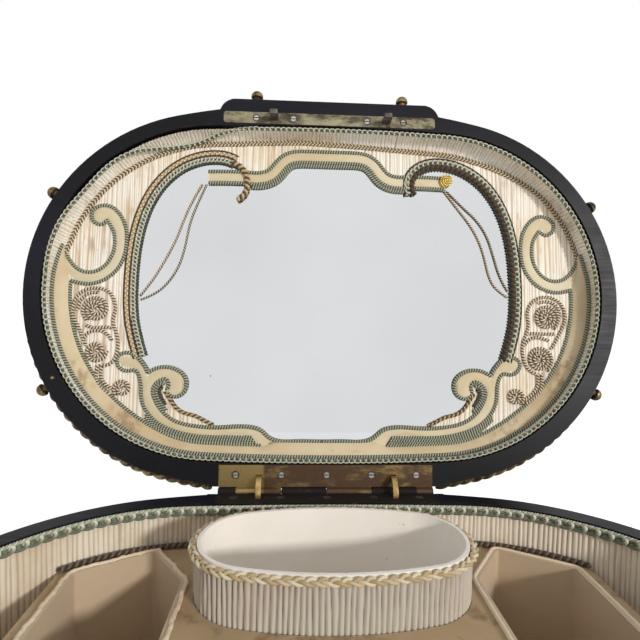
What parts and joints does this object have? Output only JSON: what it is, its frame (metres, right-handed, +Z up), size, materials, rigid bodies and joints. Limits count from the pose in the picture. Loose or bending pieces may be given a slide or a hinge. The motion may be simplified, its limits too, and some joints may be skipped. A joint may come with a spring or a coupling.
{
  "type": "oval vanity box with mirror lid",
  "caption": "Oval vanity box of ebonised wood, shown open: mirror lid dressed with ribbon and cord, silk-lined base with boxes and a white cup, leaf hinge on quadrant stays and a hook lock.",
  "frame": {"origin": "centre of the flat underside that the box rests on", "axes": "+X to the right along the long side, +Y to the back where the hinge is, +Z up"},
  "size_m": [0.332, 0.2717, 0.2996],
  "materials": {
    "ebonised_wood": "polished, near black with a bluish sheen",
    "inner_wood": "plain sawn",
    "hinge_brass": "worn, with brown patina",
    "screw_steel": "dull",
    "plate_brass": "worn, with dark patina",
    "lock_steel": "dark",
    "gilt_brass": "aged gilt",
    "pleated_silk": "pleated silk, stained",
    "silk_board": "silk over card, stained",
    "gimp_braid": "sage and cream braid",
    "twisted_cord": "cream and brown twist",
    "ribbon_silk": "cream ribbon with green cords",
    "gilt_wire": "bright",
    "cup_enamel": "smooth white",
    "mirror": "silvered glass",
    "backing_board": "plain"
  },
  "bodies": {
    "base": {"base_floor": "inner_wood", "base_gimp": "gimp_braid", "base_lining": "pleated_silk", "base_wall": "ebonised_wood", "cup": "cup_enamel", "cup_braid": "gimp_braid", "cup_skirt": "pleated_silk", "escutcheon": "plate_brass", "floor_pad": "pleated_silk", "front_box": "silk_board", "hinge_leaf_base": "hinge_brass", "hinge_pin": "hinge_brass", "hinge_screws_base": "screw_steel", "insert_board": "silk_board", "insert_cord": "twisted_cord", "insert_ends": "silk_board", "lock_case": "lock_steel", "lock_plate": "plate_brass", "lock_screws": "screw_steel", "plinth": "ebonised_wood", "side_box_left": "silk_board", "side_box_right": "silk_board"},
    "lid": {"lid_frame": "ebonised_wood", "lid_crown": "ebonised_wood", "hinge_leaf_lid": "hinge_brass", "hinge_screws_lid": "screw_steel", "strike_plate": "plate_brass", "strike_hooks": "lock_steel", "strike_screws": "screw_steel", "rope_moulding": "gilt_brass", "lid_bosses": "gilt_brass", "lid_gimp": "gimp_braid", "lid_lining": "pleated_silk", "lid_panel": "pleated_silk", "mirror_glass": "mirror", "mirror_backing": "backing_board", "panel_cord": "twisted_cord", "edge_band": "ribbon_silk", "cartouche_ribbon": "ribbon_silk", "c_scroll_left": "ribbon_silk", "c_scroll_right": "ribbon_silk", "foot_scroll_left": "ribbon_silk", "foot_scroll_right": "ribbon_silk", "mirror_piping_left": "gimp_braid", "mirror_piping_right": "gimp_braid", "rosettes_left": "twisted_cord", "rosettes_right": "twisted_cord", "wire_rosette": "gilt_wire", "loop_cord_left_inner": "twisted_cord", "loop_cord_left_outer": "twisted_cord", "loop_cord_right_inner": "twisted_cord", "loop_cord_right_outer": "twisted_cord"},
    "quadrant_stays": {"quadrant_stay_left": "hinge_brass", "quadrant_stay_right": "hinge_brass"},
    "lock_bolt": {"lock_bolt": "lock_steel"}
  },
  "joints": [
    {"name": "lid_hinge", "type": "hinge", "parent": "base", "child": "lid", "pos_m": [0, 0.104, 0.084], "axis": [1, 0, 0], "range_deg": [0, 98]},
    {"name": "stay_swing", "type": "hinge", "parent": "base", "child": "quadrant_stays", "pos_m": [0, 0.104, 0.084], "axis": [1, 0, 0], "range_deg": [0, 49]},
    {"name": "bolt_slide", "type": "slide", "parent": "base", "child": "lock_bolt", "axis": [1, 0, 0], "range_m": [0, 0.003]}
  ],
  "couplings": [
    {"joint": "stay_swing", "follows": "lid_hinge", "ratio": 0.5}
  ]
}
